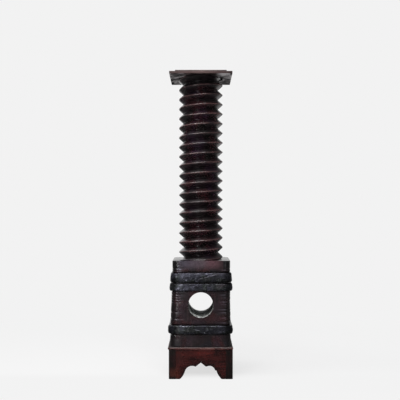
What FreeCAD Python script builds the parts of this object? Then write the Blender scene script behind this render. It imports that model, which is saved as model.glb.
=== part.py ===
import FreeCAD, Part
import math
import os

# A pedestal made from the wooden screw of an old press, stood on its square head.
# Millimetres, +Z up, front towards -Y, origin at the middle of the floor under the feet.

# General fits
wood_fit = 0.3
screw_fit = 0.15
bolt_fit = 0.5
overrun = 5.0

# Plinth of bracket feet
plinth_width = 296.0
plinth_height = 135.4
post_size = 32.0
post_round = 9.0
apron_thickness = 18.0
tongue_length = 8.0
tongue_thickness = 6.0
tongue_start = 14.0

# Sawn lower edge of an apron, from the foot to the notch in the middle
foot_reach = 96.0
haunch_reach = 72.0
haunch_rise = 40.0
haunch_ledge = 6.0
crown_reach = 46.0
crown_rise = 60.5
pendant_reach = 24.0
pendant_rise = 57.3
notch_rise = 76.0
foot_bow = 3.4
haunch_bow = 4.2
crown_bow = 1.5

# Moulded board on the plinth
plinth_nosing = 4.75
plinth_top_thickness = 11.1
plinth_top_round = 4.6

# Deck and cleats inside the plinth
deck_thickness = 22.0
cleat_depth = 20.0
cleat_height = 25.0
cleat_end_gap = 2.0

# Square head block of the press screw
block_height = 398.5
block_foot_width = 278.7
block_top_width = 264.3
block_foot_depth = 280.0
block_top_depth = 265.0
block_lean = 4.8
block_corner = 28.0
block_ease = 3.0

# Lever hole, bored from the front and from the back
lever_hole_height = 194.5
front_bore_radius = 57.9
back_bore_radius = 62.5

# Thread of the press screw
thread_length = 866.0
thread_pitch = 45.75
crest_radius = 104.5
root_radius = 81.0
crest_width = 4.0
crest_bevel = 1.5
root_width = 2.5
first_crest_height = 11.3

# Iron straps: height of the lower edge above the block's foot, width, thickness below and above
strap_fit = 0.3
strap_edge = 2.5
upper_strap_clearance = 3.0
upper_strap_width = 46.0
upper_strap_thickness_low = 10.5
upper_strap_thickness_high = 7.0
middle_strap_height = 260.5
middle_strap_width = 34.0
middle_strap_thickness = 11.0
lower_strap_height = 58.5
lower_strap_width = 42.0
lower_strap_thickness = 12.0

# Scarf laps where the ends of a strap overlap on the front
upper_lap_tip = -22.0
upper_lap_root = 62.0
lower_lap_tip = 28.0
lower_lap_root = -50.0
lap_rise = 3.0
lap_margin_share = 0.12
lap_shoulder_share = 0.8

# Two-tier top
top_plate_width = 292.5
top_plate_thickness = 11.5
top_plate_round = 1.2
top_board_width = 241.0
top_board_thickness = 9.8
top_board_round = 1.2

# Lag screws and washers under the deck
washer_clearance = 20.0
lag_radius = 5.0
lag_length = 100.0
lag_head_across_flats = 17.0
lag_head_height = 7.0
lag_tip = 8.0
washer_radius = 15.0
washer_thickness = 3.0

# Wood screws: shank radius, head radius, head height, length and tip
slot_width = 1.0
slot_depth = 1.0
tip_share = 0.25
deck_screw_radius = 2.25
deck_screw_head_radius = 4.5
deck_screw_head_height = 2.8
deck_screw_length = 40.0
deck_screw_tip = 5.0
deck_screw_inset = 28.0
cleat_screw_radius = 2.0
cleat_screw_head_radius = 4.0
cleat_screw_head_height = 2.5
cleat_screw_length = 32.0
cleat_screw_tip = 4.5
plate_screw_radius = 3.0
plate_screw_head_radius = 6.0
plate_screw_head_height = 3.6
plate_screw_length = 70.0
plate_screw_tip = 7.0
plate_screw_spacing = 92.0
board_screw_radius = 1.75
board_screw_head_radius = 3.5
board_screw_head_height = 2.2
board_screw_length = 18.0
board_screw_tip = 3.0
board_screw_spacing = 200.0

# Heights that follow from the sizes above
deck_bottom = plinth_height - deck_thickness
cleat_bottom = deck_bottom - cleat_height
block_foot = plinth_height + plinth_top_thickness
block_top = block_foot + block_height
lever_axis = block_foot + lever_hole_height
thread_top = block_top + thread_length
plate_top = thread_top + top_plate_thickness
upper_strap_height = middle_strap_height + middle_strap_width + upper_strap_clearance

# Widths that follow from the sizes above
plinth_top_width = plinth_width + 2 * plinth_nosing
post_face = plinth_width / 2 - post_size
apron_inside = plinth_width / 2 - apron_thickness
cleat_length = 2 * (apron_inside - cleat_depth - cleat_end_gap)
deck_screw_reach = cleat_length / 2 - deck_screw_inset
cleat_screw_reach = deck_screw_reach / 2
lag_spacing = 2 * (apron_inside - cleat_depth - washer_clearance - washer_radius)
block_depth = max(block_foot_depth, block_top_depth)

X_AXIS = FreeCAD.Vector(1, 0, 0)
Y_AXIS = FreeCAD.Vector(0, 1, 0)
Z_AXIS = FreeCAD.Vector(0, 0, 1)
ORIGIN = FreeCAD.Vector(0, 0, 0)


def point(x, y, z):
    return FreeCAD.Vector(x, y, z)


# A box between two opposite corners
def box(x0, y0, z0, x1, y1, z1):
    return Part.makeBox(x1 - x0, y1 - y0, z1 - z0, point(x0, y0, z0))


# A square board centred on the axis
def square_board(width, thickness, bottom):
    half = width / 2
    return box(-half, -half, bottom, half, half, bottom + thickness)


# The same shape turned about the vertical axis
def turned(shape, degrees):
    copy = shape.copy()
    copy.rotate(ORIGIN, Z_AXIS, degrees)
    return copy


# The same shape at each corner of a square
def at_corners(shape, spacing):
    half = spacing / 2
    copies = []
    for x in (-half, half):
        for y in (-half, half):
            copy = shape.copy()
            copy.translate(point(x, y, 0))
            copies.append(copy)
    return copies


# A straight line when the bow is nothing, else an arc whose middle stands off the chord
def bowed_edge(start, end, bow):
    if bow == 0:
        return Part.LineSegment(start, end).toShape()
    chord = end - start
    side = FreeCAD.Vector(-chord.z, 0, chord.x)
    side.normalize()
    middle = (start + end) * 0.5 + side * bow
    return Part.Arc(start, middle, end).toShape()


# Countersunk wood screw, head up with its top at zero, shank downwards
def wood_screw(radius, head_radius, head_height, length, tip):
    shank = Part.makeCylinder(radius, length - tip, ORIGIN, -Z_AXIS)
    cone_tip = Part.makeCone(radius, radius * tip_share, tip, point(0, 0, tip - length), -Z_AXIS)
    head = Part.makeCone(head_radius, radius, head_height, ORIGIN, -Z_AXIS)
    screw = shank.fuse([cone_tip, head])
    slot = box(-head_radius - overrun, -slot_width / 2, -slot_depth,
               head_radius + overrun, slot_width / 2, overrun)
    return screw.cut(slot).removeSplitter()


# The room that a countersunk screw takes up in the wood
def wood_screw_room(radius, head_radius, head_height, length):
    shank = Part.makeCylinder(radius + screw_fit, length + screw_fit, ORIGIN, -Z_AXIS)
    head = Part.makeCone(head_radius + screw_fit, radius + screw_fit, head_height, ORIGIN, -Z_AXIS)
    mouth = Part.makeCylinder(head_radius + screw_fit, overrun)
    return shank.fuse([head, mouth])


# Outline of the head block at a height, grown by a margin on every side
def block_outline(height, margin):
    share = (height - block_foot) / block_height
    half_x = (block_foot_width + (block_top_width - block_foot_width) * share) / 2 + margin
    half_y = (block_foot_depth + (block_top_depth - block_foot_depth) * share) / 2 + margin
    centre_x = block_lean * (share - 0.5)
    radius = block_corner + margin
    edges = []
    corners = ((1, -1), (1, 1), (-1, 1), (-1, -1))
    arcs = []
    for index, (sx, sy) in enumerate(corners):
        middle = point(centre_x + sx * (half_x - radius), sy * (half_y - radius), height)
        start_angle = -90 + 90 * index
        ends = []
        for angle in (start_angle, start_angle + 45, start_angle + 90):
            a = math.radians(angle)
            ends.append(middle + point(radius * math.cos(a), radius * math.sin(a), 0))
        arcs.append(ends)
    for index, ends in enumerate(arcs):
        following = arcs[(index + 1) % len(arcs)]
        edges.append(Part.Arc(ends[0], ends[1], ends[2]).toShape())
        edges.append(Part.LineSegment(ends[2], following[0]).toShape())
    return Part.Wire(edges)


# A helix of one turn that starts on the right-hand side
def one_turn(radius, height):
    edge = Part.makeHelix(thread_pitch, thread_pitch, radius).Edges[0]
    edge.translate(point(0, 0, height))
    return edge


# The screw thread: ruled strips between helices, closed at both ends and trimmed level
def make_thread():
    crest = crest_width / 2
    root = root_width / 2
    profile = (
        (crest_radius - crest_bevel, -crest),
        (crest_radius, crest_bevel - crest),
        (crest_radius, crest - crest_bevel),
        (crest_radius - crest_bevel, crest),
        (root_radius, thread_pitch / 2 - root),
        (root_radius, thread_pitch / 2 + root),
        (crest_radius - crest_bevel, thread_pitch - crest),
    )
    start = block_top + first_crest_height - 2 * thread_pitch
    turns = math.ceil((thread_top - start) / thread_pitch) + 1
    faces = []
    for turn in range(turns):
        level = start + turn * thread_pitch
        for (radius_a, rise_a), (radius_b, rise_b) in zip(profile, profile[1:]):
            lower = one_turn(radius_a, level + rise_a)
            upper = one_turn(radius_b, level + rise_b)
            faces.append(Part.makeRuledSurface(lower, upper))
    for level in (start, start + turns * thread_pitch):
        radius, rise = profile[0]
        low = point(0, 0, level + rise)
        high = point(0, 0, level + rise + thread_pitch)
        axis = Part.LineSegment(low, high).toShape()
        faces.append(Part.makeRuledSurface(one_turn(radius, level + rise), axis))
        rim = [point(r, 0, level + z) for r, z in profile]
        faces.append(Part.Face(Part.makePolygon([low] + rim + [high, low])))
    shell = Part.makeShell(faces)
    shell.sewShape()
    solid = Part.makeSolid(shell)
    if solid.Volume < 0:
        solid.reverse()
    span = Part.makeCylinder(crest_radius + overrun, thread_length, point(0, 0, block_top))
    return solid.common(span)


# Thread and head block, one timber, with the lever hole and the pilot holes
def make_press_screw():
    shoulder = block_top - block_ease
    sections = [
        block_outline(block_foot, 0),
        block_outline(shoulder, 0),
        block_outline(block_top, -block_ease),
    ]
    block = Part.makeLoft(sections, True, True)
    reach = block_depth / 2 + overrun
    axis_point = point(0, 0, lever_axis)
    front_bore = Part.makeCylinder(front_bore_radius, reach, axis_point, -Y_AXIS)
    back_bore = Part.makeCylinder(back_bore_radius, reach, axis_point, Y_AXIS)
    block = block.cut([front_bore, back_bore])
    timber = block.fuse(make_thread())
    lag_room = Part.makeCylinder(lag_radius + screw_fit, lag_depth() + screw_fit + overrun,
                                 point(0, 0, block_foot - overrun))
    rooms = at_corners(lag_room, lag_spacing)
    for screw_room in plate_screw_rooms():
        rooms.append(screw_room)
    return timber.cut(rooms)


# How far a lag screw reaches into the block
def lag_depth():
    return lag_length - washer_thickness - deck_thickness - plinth_top_thickness


# A band around the block, its edges broken, with the given thickness below and above
def make_band(height, width, thickness_low, thickness_high):
    low = block_foot + height
    high = low + width
    outer = Part.makeLoft([
        block_outline(low, thickness_low - strap_edge),
        block_outline(low + strap_edge, thickness_low),
        block_outline(high - strap_edge, thickness_high),
        block_outline(high, thickness_high - strap_edge),
    ], True, True)
    inner = Part.makeLoft([
        block_outline(low - overrun, strap_fit),
        block_outline(high + overrun, strap_fit),
    ], True, True)
    return outer.cut(inner)


# The lapped end of a strap: proud at its tip, sinking into the band towards its root
def make_lap(height, width, thickness, tip, root):
    low = block_foot + height + width * lap_margin_share
    high = block_foot + height + width * (1 - lap_margin_share)
    share = (low - block_foot) / block_height
    depth = block_foot_depth + (block_top_depth - block_foot_depth) * share
    face = -depth / 2 - thickness
    shoulder = root + (tip - root) * (1 - lap_shoulder_share)
    outline = Part.makePolygon([
        point(tip, 0, low),
        point(root, 0, low),
        point(root, 0, high),
        point(shoulder, 0, high),
        point(tip, 0, low),
    ])
    reach = point(0, -depth, 0)
    plan = Part.makePolygon([
        point(tip, face - lap_rise, low),
        point(root, face, low),
        point(root, face + thickness / 2, low),
        point(tip, face + thickness / 2, low),
        point(tip, face - lap_rise, low),
    ])
    wedge = Part.Face(plan).extrude(point(0, 0, width))
    return Part.Face(outline).extrude(reach).common(wedge)


def make_strap_upper():
    band = make_band(upper_strap_height, upper_strap_width,
                     upper_strap_thickness_low, upper_strap_thickness_high)
    thickness = (upper_strap_thickness_low + upper_strap_thickness_high) / 2
    lap = make_lap(upper_strap_height, upper_strap_width, thickness, upper_lap_tip, upper_lap_root)
    return band.fuse(lap)


def make_strap_middle():
    return make_band(middle_strap_height, middle_strap_width,
                     middle_strap_thickness, middle_strap_thickness)


def make_strap_lower():
    band = make_band(lower_strap_height, lower_strap_width,
                     lower_strap_thickness, lower_strap_thickness)
    lap = make_lap(lower_strap_height, lower_strap_width, lower_strap_thickness,
                   lower_lap_tip, lower_lap_root)
    return band.fuse(lap)


# The arched lower edge of an apron, each span with its bow into the opening
def apron_edge(y):
    edges = []
    for side, ledge in ((-1, 0), (1, haunch_ledge)):
        half = [
            (foot_reach, 0, foot_bow),
            (haunch_reach, haunch_rise, 0),
            (haunch_reach - ledge, haunch_rise, -haunch_bow),
            (crown_reach, crown_rise, -crown_bow),
            (pendant_reach, pendant_rise, 0),
            (0, notch_rise, 0),
        ]
        for (reach_a, rise_a, bow), (reach_b, rise_b, _) in zip(half, half[1:]):
            start = point(side * reach_a, y, rise_a)
            end = point(side * reach_b, y, rise_b)
            if start != end:
                edges.append(bowed_edge(start, end, side * bow))
    return edges


# An apron with its arched edge and a tongue at each end, made as the front one
def make_apron():
    front = -plinth_width / 2
    back = front + apron_thickness
    end = post_face - wood_fit
    board = box(-end, front, 0, end, back, plinth_height)
    middle = front + apron_thickness / 2
    tongue = box(-end - tongue_length, middle - tongue_thickness / 2, tongue_start,
                 end + tongue_length, middle + tongue_thickness / 2, plinth_height)
    floor = Part.LineSegment(point(-foot_reach, front - overrun, 0),
                             point(foot_reach, front - overrun, 0)).toShape()
    wire = Part.Wire(Part.sortEdges(apron_edge(front - overrun) + [floor])[0])
    arch = Part.Face(wire).extrude(point(0, apron_thickness + 2 * overrun, 0))
    apron = board.fuse(tongue).cut([arch] + cleat_screw_rooms())
    return apron.removeSplitter()


# A corner post with its grooves, made as the front left one
def make_post():
    outer = -plinth_width / 2
    inner = outer + post_size
    post = box(outer, outer, 0, inner, inner, plinth_height)
    outer_edge = min(post.Edges, key=lambda e: e.CenterOfMass.x + e.CenterOfMass.y)
    post = post.makeFillet(post_round, [outer_edge])
    middle = outer + apron_thickness / 2
    half = tongue_thickness / 2 + wood_fit
    depth = inner - tongue_length - 2 * wood_fit
    bottom = tongue_start - wood_fit
    top = plinth_height + overrun
    groove_x = box(depth, middle - half, bottom, inner + overrun, middle + half, top)
    groove_y = box(middle - half, depth, bottom, middle + half, inner + overrun, top)
    return post.cut([groove_x, groove_y])


# The moulded board between plinth and block
def make_plinth_top():
    board = square_board(plinth_top_width, plinth_top_thickness, plinth_height)
    rims = [e for e in board.Edges if abs(e.tangentAt(e.FirstParameter).z) < 0.5]
    board = board.makeFillet(plinth_top_round, rims)
    return board.cut(lag_rooms())


# Clearance holes for the lag screws through deck and plinth top
def lag_rooms():
    length = deck_thickness + plinth_top_thickness + 2 * overrun
    hole = Part.makeCylinder(lag_radius + bolt_fit, length, point(0, 0, deck_bottom - overrun))
    return at_corners(hole, lag_spacing)


# The deck inside the plinth, notched around the posts
def make_deck():
    width = 2 * (apron_inside - wood_fit)
    deck = square_board(width, deck_thickness, deck_bottom)
    notch_inner = post_face - wood_fit
    notch_outer = width / 2 + overrun
    notch = box(notch_inner, notch_inner, deck_bottom - overrun,
                notch_outer, notch_outer, plinth_height + overrun)
    notches = [turned(notch, 90 * quarter) for quarter in range(4)]
    rooms = []
    for quarter in range(4):
        for room in deck_screw_rooms():
            rooms.append(turned(room, 90 * quarter))
    return deck.cut(notches + lag_rooms() + rooms)


# A cleat under the deck, made as the front one
def make_cleat():
    outer = -apron_inside
    inner = outer + cleat_depth
    half = cleat_length / 2
    cleat = box(-half, outer, cleat_bottom, half, inner, deck_bottom)
    return cleat.cut(deck_screw_rooms() + cleat_screw_rooms())


# The places along a cleat where a pair of screws stands
def pair_along_cleat(shape, reach):
    copies = []
    for x in (-reach, reach):
        copy = shape.copy()
        copy.translate(point(x, 0, 0))
        copies.append(copy)
    return copies


# Deck screws stand head down in the underside of the cleat
def place_deck_screw(shape):
    placed = shape.copy()
    placed.rotate(ORIGIN, X_AXIS, 180)
    placed.translate(point(0, cleat_depth / 2 - apron_inside, cleat_bottom))
    return pair_along_cleat(placed, deck_screw_reach)


# Cleat screws lie with their heads in the inner face of the cleat
def place_cleat_screw(shape):
    placed = shape.copy()
    placed.rotate(ORIGIN, X_AXIS, -90)
    placed.translate(point(0, cleat_depth - apron_inside, cleat_bottom + cleat_height / 2))
    return pair_along_cleat(placed, cleat_screw_reach)


def deck_screw_rooms():
    room = wood_screw_room(deck_screw_radius, deck_screw_head_radius,
                           deck_screw_head_height, deck_screw_length)
    return place_deck_screw(room)


def cleat_screw_rooms():
    room = wood_screw_room(cleat_screw_radius, cleat_screw_head_radius,
                           cleat_screw_head_height, cleat_screw_length)
    return place_cleat_screw(room)


def plate_screw_rooms():
    room = wood_screw_room(plate_screw_radius, plate_screw_head_radius,
                           plate_screw_head_height, plate_screw_length)
    room.translate(point(0, 0, plate_top))
    return at_corners(room, plate_screw_spacing)


def board_screw_rooms():
    room = wood_screw_room(board_screw_radius, board_screw_head_radius,
                           board_screw_head_height, board_screw_length)
    room.rotate(ORIGIN, X_AXIS, 180)
    room.translate(point(0, 0, thread_top))
    return at_corners(room, board_screw_spacing)


# The four sides' screws of one kind as one group of separate solids
def around_plinth(screws):
    copies = []
    for quarter in range(4):
        for screw in screws:
            copies.append(turned(screw, 90 * quarter))
    return Part.makeCompound(copies)


def make_deck_screws():
    screw = wood_screw(deck_screw_radius, deck_screw_head_radius,
                       deck_screw_head_height, deck_screw_length, deck_screw_tip)
    return around_plinth(place_deck_screw(screw))


def make_cleat_screws():
    screw = wood_screw(cleat_screw_radius, cleat_screw_head_radius,
                       cleat_screw_head_height, cleat_screw_length, cleat_screw_tip)
    return around_plinth(place_cleat_screw(screw))


def make_plate_screws():
    screw = wood_screw(plate_screw_radius, plate_screw_head_radius,
                       plate_screw_head_height, plate_screw_length, plate_screw_tip)
    screw.translate(point(0, 0, plate_top))
    return Part.makeCompound(at_corners(screw, plate_screw_spacing))


def make_board_screws():
    screw = wood_screw(board_screw_radius, board_screw_head_radius,
                       board_screw_head_height, board_screw_length, board_screw_tip)
    screw.rotate(ORIGIN, X_AXIS, 180)
    screw.translate(point(0, 0, thread_top))
    return Part.makeCompound(at_corners(screw, board_screw_spacing))


# Hexagon-headed lag screws, heads and washers under the deck
def make_lag_screws():
    seat = deck_bottom - washer_thickness
    across_corners = lag_head_across_flats / math.cos(math.radians(30))
    corners = []
    for index in range(7):
        a = math.radians(60 * index)
        corners.append(point(across_corners / 2 * math.cos(a), across_corners / 2 * math.sin(a),
                             seat - lag_head_height))
    head = Part.Face(Part.makePolygon(corners)).extrude(point(0, 0, lag_head_height))
    shank = Part.makeCylinder(lag_radius, lag_length - lag_tip, point(0, 0, seat))
    tip = Part.makeCone(lag_radius, lag_radius * tip_share, lag_tip,
                        point(0, 0, seat + lag_length - lag_tip))
    screw = head.fuse([shank, tip]).removeSplitter()
    return Part.makeCompound(at_corners(screw, lag_spacing))


def make_lag_washers():
    place = point(0, 0, deck_bottom - washer_thickness)
    disc = Part.makeCylinder(washer_radius, washer_thickness, place)
    hole = Part.makeCylinder(lag_radius + bolt_fit, washer_thickness, place)
    return Part.makeCompound(at_corners(disc.cut(hole), lag_spacing))


# The larger, lower square of the top
def make_top_plate():
    plate = square_board(top_plate_width, top_plate_thickness, thread_top)
    plate = plate.makeFillet(top_plate_round, plate.Edges)
    return plate.cut(plate_screw_rooms() + board_screw_rooms())


# The smaller, upper square of the top
def make_top_board():
    board = square_board(top_board_width, top_board_thickness, plate_top)
    rims = [e for e in board.Edges if e.CenterOfMass.z > plate_top + top_board_round]
    board = board.makeFillet(top_board_round, rims)
    return board.cut(board_screw_rooms())


def save(name, shape):
    shape.exportStep(os.path.join("parts", name + ".step"))
    print(name, len(shape.Solids), shape.isValid(), round(shape.Volume))


os.makedirs("parts", exist_ok=True)

save("press_screw", make_press_screw())
save("strap_upper", make_strap_upper())
save("strap_middle", make_strap_middle())
save("strap_lower", make_strap_lower())

apron = make_apron()
post = make_post()
cleat = make_cleat()
for quarter, side in enumerate(("front", "right", "back", "left")):
    save("apron_" + side, turned(apron, 90 * quarter))
    save("cleat_" + side, turned(cleat, 90 * quarter))
for quarter, corner in enumerate(("front_left", "front_right", "back_right", "back_left")):
    save("corner_post_" + corner, turned(post, 90 * quarter))
save("plinth_top", make_plinth_top())
save("plinth_deck", make_deck())

save("top_plate", make_top_plate())
save("top_board", make_top_board())

save("lag_screws", make_lag_screws())
save("lag_washers", make_lag_washers())
save("deck_screws", make_deck_screws())
save("cleat_screws", make_cleat_screws())
save("plate_screws", make_plate_screws())
save("board_screws", make_board_screws())
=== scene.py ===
import math
import random

import bmesh
import bpy
import numpy as np
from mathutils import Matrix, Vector, noise


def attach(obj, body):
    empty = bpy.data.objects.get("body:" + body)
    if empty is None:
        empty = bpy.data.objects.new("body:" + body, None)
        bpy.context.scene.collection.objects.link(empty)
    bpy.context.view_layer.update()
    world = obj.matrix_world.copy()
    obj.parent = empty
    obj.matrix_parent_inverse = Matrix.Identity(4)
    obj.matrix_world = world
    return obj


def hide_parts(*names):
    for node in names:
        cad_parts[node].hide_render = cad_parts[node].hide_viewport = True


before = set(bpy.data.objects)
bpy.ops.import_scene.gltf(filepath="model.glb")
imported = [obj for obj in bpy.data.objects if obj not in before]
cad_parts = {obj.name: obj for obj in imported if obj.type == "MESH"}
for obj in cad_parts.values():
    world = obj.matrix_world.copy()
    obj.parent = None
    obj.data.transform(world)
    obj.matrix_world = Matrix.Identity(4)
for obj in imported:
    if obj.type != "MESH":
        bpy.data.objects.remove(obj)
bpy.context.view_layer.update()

MM = 0.001

# The aprons of the plinth: four mahogany boards, each with an arch sawn out of its lower edge
# by hand and tongued into the corner posts. The saw left a small ledge on the right of every
# arch. Shade is painted dark along the sawn edge, and the feet are darker at the very bottom.


def cad_box_of(node_name):
    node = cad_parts[node_name]
    points = np.array([node.matrix_world @ vertex.co for vertex in node.data.vertices]) / MM
    return points.min(axis=0).round(3).tolist(), points.max(axis=0).round(3).tolist()


apron_low, apron_high = cad_box_of("apron_front")
plinth_half = -apron_low[1]
plinth_height = apron_high[2]
apron_thickness = apron_high[1] - apron_low[1]
apron_columns = 92
# the lower arris is rubbed round, the upper one is only broken
apron_arris = 1.1
apron_top_arris = 0.4
tongue_reach = 8.0
tongue_half = 3.0
tongue_foot = 14.0
apron_end = apron_high[0] - tongue_reach
# corners of the arch from its right end to its middle as (x, height, bow of the line to the next)
arch_span = ((96.0, 0.0, 3.4), (72.0, 40.0, 0.0), (66.0, 40.0, -4.2),
             (46.0, 60.5, -1.5), (24.0, 57.3, 0.0), (0.0, 76.0, 0.0))
haunch_without_ledge = (72.0, 40.0, -4.2)
arch_shade_reach = 26.0
# shares of painted shade along the sawn edge, and of plain darkening on the face, from the
# left to the right end
apron_places = (-130.0, -60.0, -25.0, 20.0, 60.0, 130.0)
arch_shade_share = (0.35, 0.35, 0.45, 0.85, 0.85, 0.85)
face_darkening = (0.34, 0.24, 0.0, 0.0, 0.16, 0.34)
worn_foot = (-124 * MM, -148 * MM, 26 * MM)


def linear(hex_colour):
    channels = [int(hex_colour[i:i + 2], 16) / 255 for i in (1, 3, 5)]
    return [c / 12.92 if c <= 0.04045 else ((c + 0.055) / 1.055) ** 2.4 for c in channels] + [1.0]


# Adds one node. Its inputs are a dictionary, or a tuple in the order of its sockets, which for a
# MapRange are value, from, from, to, to. An input is a number, a colour in hex, a socket, or a
# node, which stands for its first live output. Stops are those of a colour ramp.
def add(tree, kind, inputs=(), stops=(), **settings):
    node = tree.nodes.new("ShaderNode" + kind)
    for name, value in settings.items():
        setattr(node, name, value)
    for place, colour in stops:
        if place in (stops[0][0], stops[-1][0]):
            stop = node.color_ramp.elements[0 if place == stops[0][0] else -1]
            stop.position = place
        else:
            stop = node.color_ramp.elements.new(place)
        stop.color = linear(colour) if isinstance(colour, str) else (colour, colour, colour, 1.0)
    for socket, value in inputs.items() if isinstance(inputs, dict) else enumerate(inputs):
        if isinstance(value, bpy.types.Node):
            value = next(output for output in value.outputs if output.enabled)
        if isinstance(value, bpy.types.NodeSocket):
            tree.links.new(value, node.inputs[socket])
        else:
            node.inputs[socket].default_value = linear(value) if isinstance(value, str) else value
    return node


def new_material(name):
    material = bpy.data.materials.new(name)
    material.use_nodes = True
    material.node_tree.nodes.clear()
    return material, material.node_tree


def smooth_noise(x, y, z):
    return noise.noise(Vector((x, y, z)))


def put_in_scene(name, data):
    thing = bpy.data.objects.new(name, data)
    bpy.context.scene.collection.objects.link(thing)
    return thing


def finish_piece(name, mesh, material, node_name, sharp=35):
    mesh.validate()
    mesh.shade_smooth()
    mesh.set_sharp_from_angle(angle=math.radians(sharp))
    if material:
        mesh.materials.append(material)
    piece = put_in_scene(name, mesh)
    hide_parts(node_name)
    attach(piece, "root")


# French-polished mahogany: red-brown with darker streaks along the grain and a dark glaze in
# patches; the shellac gives a soft, slightly uneven gloss over it
def polished_mahogany(name, along):
    material, tree = new_material(name)
    place = add(tree, "TexCoord").outputs["Object"]
    stretch = [0.07 if axis == along else 1.0 for axis in "XYZ"]
    board = add(tree, "Mapping", {"Vector": place, "Scale": stretch})
    # figure: streaks about 9 mm apart across the grain
    figure = add(tree, "TexNoise", {
        "Vector": board, "Scale": 110.0, "Detail": 5.0, "Roughness": 0.6, "Distortion": 0.6})
    # pores: 1.5 mm apart, drawn coarser than the real 0.3 mm so that they show
    pores = add(tree, "TexNoise", {
        "Vector": board, "Scale": 640.0, "Detail": 3.0, "Roughness": 0.7})
    # glaze: patches 80 mm across where old polish has darkened
    glaze = add(tree, "TexNoise", {"Vector": place, "Scale": 12.0})
    wood = add(tree, "ValToRGB", {"Fac": figure}, stops=(
        (0.28, "#290a0a"), (0.45, "#3c110f"), (0.6, "#4e1714"), (0.8, "#621f18")))
    darkened = add(tree, "ValToRGB", {"Fac": glaze}, stops=((0.36, 0.8), (0.5, 0.3), (0.62, 0.0)))
    # the left front foot is rubbed through to orange-brown wood
    from_foot = add(tree, "VectorMath", (place, worn_foot), operation="DISTANCE")
    rubbed = add(tree, "MapRange", (from_foot, 8 * MM, 38 * MM, 0.5, 0.0))
    # painted shade along the sawn arch, with darker foot bottoms and board ends, from the mesh
    arch_shaded = add(tree, "Attribute", attribute_name="arch_shade_and_darkening").outputs["Fac"]
    colour = wood
    for share, layer in ((darkened, "#180b0c"), (rubbed, "#6a2c18"), (arch_shaded, "#120b0a")):
        colour = add(tree, "Mix", {0: share, 6: colour, 7: layer}, data_type="RGBA")
    pore = add(tree, "ValToRGB", {"Fac": pores}, stops=((0.3, 0.62), (0.5, 1.0)))
    grained = add(tree, "Mix", {0: 1.0, 6: colour, 7: pore}, data_type="RGBA",
                  blend_type="MULTIPLY")
    sheen = add(tree, "MapRange", (glaze, 0.3, 0.7, 0.2, 0.3))
    relief = add(tree, "Math", (figure, pores), operation="ADD")
    bump = add(tree, "Bump", {"Height": relief, "Strength": 0.25, "Distance": 0.5 * MM})
    shader = add(tree, "BsdfPrincipled", {
        "Base Color": grained, "Roughness": sheen, "IOR": 1.45, "Coat Weight": 0.05,
        "Coat Roughness": 0.15, "Coat IOR": 1.5, "Normal": bump})
    add(tree, "OutputMaterial", {"Surface": shader})
    return material


def arch_line(side, steps=9):
    corners = list(arch_span)
    if side < 0:
        corners[1:3] = [haunch_without_ledge]
    points = []
    for (xa, za, bow), (xb, zb, _) in zip(corners, corners[1:]):
        length = math.hypot(xb - xa, zb - za)
        for step in range(steps):
            t = step / steps
            off = 4 * bow * t * (1 - t) / length
            points.append((side * (xa + (xb - xa) * t - (zb - za) * off),
                           za + (zb - za) * t + (xb - xa) * off))
    return points


arch = arch_line(-1) + [arch_span[-1][:2]] + arch_line(1)[::-1]
arch_x = np.array([x for x, _ in arch])
arch_z = np.array([z for _, z in arch])


def mesh_from_loops(name, loops, closed=False):
    count = len(loops[0])
    vertices = [tuple(c * MM for c in point) for loop in loops for point in loop]
    faces = []
    for i in range(len(loops) if closed else len(loops) - 1):
        a = i * count
        b = (i + 1) % len(loops) * count
        for j in range(count):
            k = (j + 1) % count
            faces.append((a + j, a + k, b + k, b + j))
    if not closed:
        faces.append(tuple(range(count))[::-1])
        faces.append(tuple((len(loops) - 1) * count + j for j in range(count)))
    mesh = bpy.data.meshes.new(name)
    mesh.from_pydata(vertices, [], faces)
    form = bmesh.new()
    form.from_mesh(mesh)
    bmesh.ops.recalc_face_normals(form, faces=form.faces)
    form.to_mesh(mesh)
    form.free()
    return mesh


def apron_loops():
    columns = set(np.linspace(-apron_end, apron_end, apron_columns).tolist())
    front = -plinth_half
    back = front + apron_thickness
    slight = 0.3 * apron_arris
    high = plinth_height - apron_top_arris
    rise = (0.0, 0.012, 0.03, 0.06, 0.11, 0.18, 0.27, 0.38, 0.5, 0.63, 0.76, 0.9, 1.0)
    loops = []
    for x in sorted(columns | set(arch_x.tolist())):
        foot = float(np.interp(x, arch_x, arch_z, left=0.0, right=0.0))
        low = foot + apron_arris
        face = [low + (high - low) * share for share in rise]
        section = [(front + apron_arris, foot), (front + slight, foot + slight)]
        section += [(front, z) for z in face]
        section += [(front + apron_top_arris, plinth_height),
                    (back - apron_top_arris, plinth_height)]
        section += [(back, z) for z in face[::-1]]
        section += [(back - slight, foot + slight), (back - apron_arris, foot)]
        loops.append([(x, y, z) for y, z in section])
    return loops


def keep_values(mesh, name, values, domain="POINT"):
    mesh.attributes.new(name, "FLOAT", domain).data.foreach_set("value", values)


def tongue_loops(side):
    middle = -plinth_half + apron_thickness / 2
    low, high = tongue_foot, plinth_height - 1
    section = [(middle - tongue_half, low), (middle + tongue_half, low),
               (middle + tongue_half, high), (middle - tongue_half, high)]
    return [[(side * x, y, z) for y, z in section]
            for x in (apron_end - 1, apron_end + tongue_reach)]


def turn_mesh(mesh, quarter):
    c, s = ((1, 0), (0, 1), (-1, 0), (0, -1))[quarter]
    for vertex in mesh.vertices:
        x, y, z = vertex.co
        vertex.co = (x * c - y * s, x * s + y * c, z)


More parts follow.
